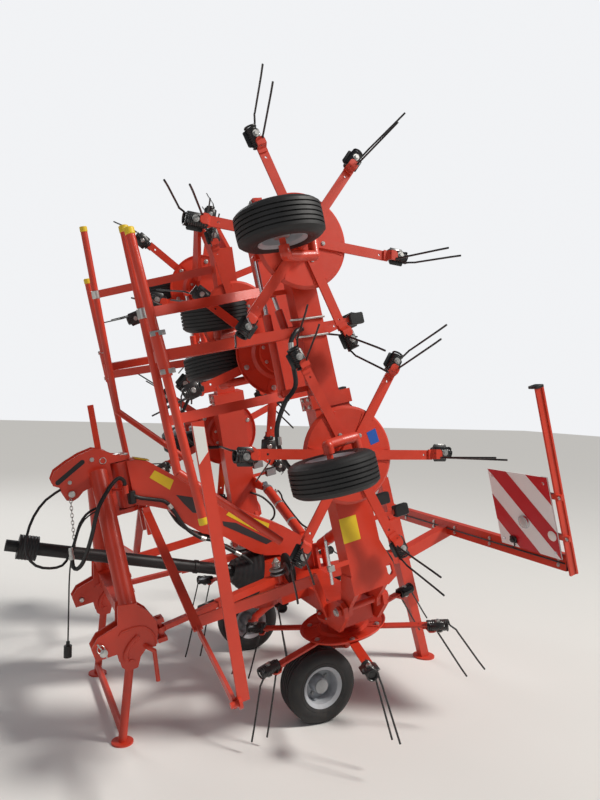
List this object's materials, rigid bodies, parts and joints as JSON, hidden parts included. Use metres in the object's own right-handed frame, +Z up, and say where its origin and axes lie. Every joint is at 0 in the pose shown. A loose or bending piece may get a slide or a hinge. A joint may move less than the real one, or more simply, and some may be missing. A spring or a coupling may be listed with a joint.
{
  "type": "folded hay tedder",
  "caption": "Mounted rotary hay tedder folded upright for transport, with tined rotors on hinged wings, swivelling headstock, support wheels and front and rear stands.",
  "frame": {"origin": "middle of the bounding box at floor level, the parked machine standing on its wheels, front stand and rear leg", "axes": "+Z up, -X is the direction of travel (towards the tractor), +Y towards the side away from the camera"},
  "size_m": [2.9408, 3.066, 3.3403],
  "materials": {
    "orange_paint": "gloss orange-red paint",
    "tyre_rubber": "ribbed black tyre",
    "rim_paint": "light grey paint",
    "black_plastic": "matte black",
    "rod_steel": "chromed rod",
    "board_white": "reflective sheet, red and white",
    "hose_rubber": "black hose"
  },
  "bodies": {
    "base": {"main_frame": "orange_paint", "neck": "orange_paint", "drive_shaft": "black_plastic", "centre_guard": "orange_paint", "rear_frame": "orange_paint", "boards": "board_white"},
    "headstock": {"headstock": "orange_paint", "hose_supply": "hose_rubber", "supply_coupling": "black_plastic", "hose_loop": "hose_rubber", "light_cable": "hose_rubber", "light_plug": "black_plastic"},
    "front_stand": {"front_stand": "orange_paint"},
    "rear_leg": {"rear_leg": "orange_paint"},
    "near_stabiliser_sleeve": {"near_stabiliser_sleeve": "orange_paint"},
    "near_stabiliser_rod": {"near_stabiliser_rod": "orange_paint"},
    "near_guard_flap": {"near_guard_flap": "orange_paint"},
    "near_fold_barrel": {"near_fold_barrel": "orange_paint"},
    "near_fold_rod": {"near_fold_rod": "rod_steel"},
    "near_wing": {"near_wing_beam": "orange_paint"},
    "near_outer": {"near_outer_section": "orange_paint"},
    "far_stabiliser_sleeve": {"far_stabiliser_sleeve": "orange_paint"},
    "far_stabiliser_rod": {"far_stabiliser_rod": "orange_paint"},
    "far_guard_flap": {"far_guard_flap": "orange_paint"},
    "far_fold_barrel": {"far_fold_barrel": "orange_paint"},
    "far_fold_rod": {"far_fold_rod": "rod_steel"},
    "far_wing": {"far_wing_beam": "orange_paint"},
    "far_outer": {"far_outer_section": "orange_paint"},
    "near_1_rotor": {"near_1_disc": "orange_paint", "near_1_tines": "black_plastic"},
    "near_1_wheel": {"near_1_tyre": "tyre_rubber", "near_1_rim": "rim_paint"},
    "near_2_rotor": {"near_2_disc": "orange_paint", "near_2_tines": "black_plastic"},
    "near_2_wheel": {"near_2_tyre": "tyre_rubber", "near_2_rim": "rim_paint"},
    "near_3_rotor": {"near_3_disc": "orange_paint", "near_3_tines": "black_plastic"},
    "near_3_wheel": {"near_3_tyre": "tyre_rubber", "near_3_rim": "rim_paint"},
    "near_4_rotor": {"near_4_disc": "orange_paint", "near_4_tines": "black_plastic"},
    "near_4_wheel": {"near_4_tyre": "tyre_rubber", "near_4_rim": "rim_paint"},
    "far_1_rotor": {"far_1_disc": "orange_paint", "far_1_tines": "black_plastic"},
    "far_1_wheel": {"far_1_tyre": "tyre_rubber", "far_1_rim": "rim_paint"},
    "far_2_rotor": {"far_2_disc": "orange_paint", "far_2_tines": "black_plastic"},
    "far_2_wheel": {"far_2_tyre": "tyre_rubber", "far_2_rim": "rim_paint"},
    "far_3_rotor": {"far_3_disc": "orange_paint", "far_3_tines": "black_plastic"},
    "far_3_wheel": {"far_3_tyre": "tyre_rubber", "far_3_rim": "rim_paint"},
    "far_4_rotor": {"far_4_disc": "orange_paint", "far_4_tines": "black_plastic"},
    "far_4_wheel": {"far_4_tyre": "tyre_rubber", "far_4_rim": "rim_paint"}
  },
  "joints": [
    {"name": "headstock_swivel", "type": "hinge", "parent": "base", "child": "headstock", "pos_m": [-0.84534, 0, 1.22934], "axis": [-0.2312, 0, 0.9729], "range_deg": [-10, 10]},
    {"name": "front_stand_fold", "type": "hinge", "parent": "headstock", "child": "front_stand", "pos_m": [-0.86929, 0, 0.42192], "axis": [0, -1, 0], "range_deg": [0, 75]},
    {"name": "rear_leg_slide", "type": "slide", "parent": "base", "child": "rear_leg", "axis": [-0.2996, 0, 0.9541], "range_m": [0, 0.35]},
    {"name": "near_fold", "type": "hinge", "parent": "base", "child": "near_wing", "pos_m": [0.25372, -0.835, 0.7135], "axis": [0.9729, 0, 0.2312], "range_deg": [0, 95.7]},
    {"name": "near_outer_fold", "type": "hinge", "parent": "near_wing", "child": "near_outer", "pos_m": [-0.24901, -0.51649, 2.8287], "axis": [0.9729, 0, 0.2312], "range_deg": [0, 180]},
    {"name": "near_guard_flap_fold", "type": "hinge", "parent": "base", "child": "near_guard_flap", "pos_m": [-0.64986, -1.5, 0.62311], "axis": [0.9729, 0, 0.2312], "range_deg": [0, 90]},
    {"name": "near_barrel_pivot", "type": "hinge", "parent": "base", "child": "near_fold_barrel", "pos_m": [0.35843, -0.1, 0.85248], "axis": [0.9729, 0, 0.2312], "range_deg": [0, 27.01]},
    {"name": "near_rod_slide", "type": "slide", "parent": "near_fold_barrel", "child": "near_fold_rod", "axis": [-0.1032, -0.8949, 0.4342], "range_m": [0, 0.5]},
    {"name": "near_stabiliser_yaw", "type": "hinge", "parent": "base", "child": "near_stabiliser_sleeve", "pos_m": [0.00266, -0.3, 0.73195], "axis": [-0.2312, 0, 0.9729], "range_deg": [-3, 3]},
    {"name": "near_stabiliser_slide", "type": "slide", "parent": "near_stabiliser_sleeve", "child": "near_stabiliser_rod", "axis": [-0.9538, -0.1974, -0.2267], "range_m": [-0.08, 0.08]},
    {"name": "far_fold", "type": "hinge", "parent": "base", "child": "far_wing", "pos_m": [0.25372, 0.835, 0.7135], "axis": [-0.9729, 0, -0.2312], "range_deg": [0, 95.7]},
    {"name": "far_outer_fold", "type": "hinge", "parent": "far_wing", "child": "far_outer", "pos_m": [-0.27893, 0.50358, 2.95455], "axis": [-0.9729, 0, -0.2312], "range_deg": [0, 180]},
    {"name": "far_guard_flap_fold", "type": "hinge", "parent": "base", "child": "far_guard_flap", "pos_m": [-0.64986, 1.5, 0.62311], "axis": [-0.9729, 0, -0.2312], "range_deg": [0, 90]},
    {"name": "far_barrel_pivot", "type": "hinge", "parent": "base", "child": "far_fold_barrel", "pos_m": [0.35843, 0.1, 0.85248], "axis": [-0.9729, 0, -0.2312], "range_deg": [0, 27.01]},
    {"name": "far_rod_slide", "type": "slide", "parent": "far_fold_barrel", "child": "far_fold_rod", "axis": [-0.1032, 0.8949, 0.4342], "range_m": [0, 0.5]},
    {"name": "far_stabiliser_yaw", "type": "hinge", "parent": "base", "child": "far_stabiliser_sleeve", "pos_m": [0.00266, 0.3, 0.73195], "axis": [-0.2312, 0, 0.9729], "range_deg": [-3, 3]},
    {"name": "far_stabiliser_slide", "type": "slide", "parent": "far_stabiliser_sleeve", "child": "far_stabiliser_rod", "axis": [-0.9538, 0.1974, -0.2267], "range_m": [-0.08, 0.08]},
    {"name": "near_1_rotor_spin", "type": "hinge", "parent": "base", "child": "near_1_rotor", "pos_m": [0.30552, -0.545, 0.49558], "axis": [-0.2312, 0, 0.9729], "continuous": true},
    {"name": "near_1_wheel_roll", "type": "hinge", "parent": "base", "child": "near_1_wheel", "pos_m": [0.14494, -0.567, 0.2025], "axis": [0, 1, 0], "continuous": true},
    {"name": "near_2_rotor_spin", "type": "hinge", "parent": "near_wing", "child": "near_2_rotor", "pos_m": [0.06451, -0.97844, 1.50962], "axis": [0.023, 0.9951, -0.0966], "continuous": true},
    {"name": "near_2_wheel_roll", "type": "hinge", "parent": "near_wing", "child": "near_2_wheel", "pos_m": [-0.15038, -1.22898, 1.445], "axis": [0.2301, -0.0993, -0.9681], "continuous": true},
    {"name": "near_3_rotor_spin", "type": "hinge", "parent": "near_wing", "child": "near_3_rotor", "pos_m": [-0.1863, -0.87018, 2.56483], "axis": [0.023, 0.9951, -0.0966], "continuous": true},
    {"name": "near_3_wheel_roll", "type": "hinge", "parent": "near_wing", "child": "near_3_wheel", "pos_m": [-0.41291, -1.11566, 2.54958], "axis": [0.2301, -0.0993, -0.9681], "continuous": true},
    {"name": "near_4_rotor_spin", "type": "hinge", "parent": "near_outer", "child": "near_4_rotor", "pos_m": [-0.06092, -0.27107, 2.03734], "axis": [-0.023, -0.9951, 0.0966], "continuous": true},
    {"name": "near_4_wheel_roll", "type": "hinge", "parent": "near_outer", "child": "near_4_wheel", "pos_m": [-0.32641, -0.0223, 1.96938], "axis": [-0.2301, 0.0993, 0.9681], "continuous": true},
    {"name": "far_1_rotor_spin", "type": "hinge", "parent": "base", "child": "far_1_rotor", "pos_m": [0.30552, 0.545, 0.49558], "axis": [-0.2312, 0, 0.9729], "continuous": true},
    {"name": "far_1_wheel_roll", "type": "hinge", "parent": "base", "child": "far_1_wheel", "pos_m": [0.14494, 0.567, 0.2025], "axis": [0, 1, 0], "continuous": true},
    {"name": "far_2_rotor_spin", "type": "hinge", "parent": "far_wing", "child": "far_2_rotor", "pos_m": [0.06451, 0.97844, 1.50962], "axis": [0.023, -0.9951, -0.0966], "continuous": true},
    {"name": "far_2_wheel_roll", "type": "hinge", "parent": "far_wing", "child": "far_2_wheel", "pos_m": [-0.15038, 1.22898, 1.445], "axis": [-0.2301, -0.0993, 0.9681], "continuous": true},
    {"name": "far_3_rotor_spin", "type": "hinge", "parent": "far_wing", "child": "far_3_rotor", "pos_m": [-0.1863, 0.87018, 2.56483], "axis": [0.023, -0.9951, -0.0966], "continuous": true},
    {"name": "far_3_wheel_roll", "type": "hinge", "parent": "far_wing", "child": "far_3_wheel", "pos_m": [-0.41291, 1.11566, 2.54958], "axis": [-0.2301, -0.0993, 0.9681], "continuous": true},
    {"name": "far_4_rotor_spin", "type": "hinge", "parent": "far_outer", "child": "far_4_rotor", "pos_m": [-0.12075, 0.24524, 2.28905], "axis": [-0.023, 0.9951, 0.0966], "continuous": true},
    {"name": "far_4_wheel_roll", "type": "hinge", "parent": "far_outer", "child": "far_4_wheel", "pos_m": [-0.35537, -0.00699, 2.26422], "axis": [0.2301, 0.0993, -0.9681], "continuous": true}
  ],
  "couplings": [
    {"joint": "near_outer_fold", "follows": "near_fold", "ratio": 1.8804},
    {"joint": "near_guard_flap_fold", "follows": "near_fold", "ratio": 0.9399},
    {"joint": "near_barrel_pivot", "follows": "near_fold", "ratio": 0.277},
    {"joint": "near_rod_slide", "follows": "near_fold", "m_per_rad": 0.2982},
    {"joint": "near_stabiliser_yaw", "follows": "headstock_swivel", "ratio": 0.162},
    {"joint": "near_stabiliser_slide", "follows": "headstock_swivel", "m_per_rad": -0.4342},
    {"joint": "far_fold", "follows": "near_fold", "ratio": 1},
    {"joint": "far_outer_fold", "follows": "near_fold", "ratio": 1.8804},
    {"joint": "far_guard_flap_fold", "follows": "near_fold", "ratio": 0.9399},
    {"joint": "far_barrel_pivot", "follows": "near_fold", "ratio": 0.277},
    {"joint": "far_rod_slide", "follows": "near_fold", "m_per_rad": 0.2982},
    {"joint": "far_stabiliser_yaw", "follows": "headstock_swivel", "ratio": 0.162},
    {"joint": "far_stabiliser_slide", "follows": "headstock_swivel", "m_per_rad": 0.4342},
    {"joint": "near_2_rotor_spin", "follows": "near_1_rotor_spin", "ratio": -1},
    {"joint": "near_3_rotor_spin", "follows": "near_1_rotor_spin", "ratio": 1},
    {"joint": "near_4_rotor_spin", "follows": "near_1_rotor_spin", "ratio": -1},
    {"joint": "far_1_rotor_spin", "follows": "near_1_rotor_spin", "ratio": -1},
    {"joint": "far_2_rotor_spin", "follows": "near_1_rotor_spin", "ratio": 1},
    {"joint": "far_3_rotor_spin", "follows": "near_1_rotor_spin", "ratio": -1},
    {"joint": "far_4_rotor_spin", "follows": "near_1_rotor_spin", "ratio": 1}
  ]
}
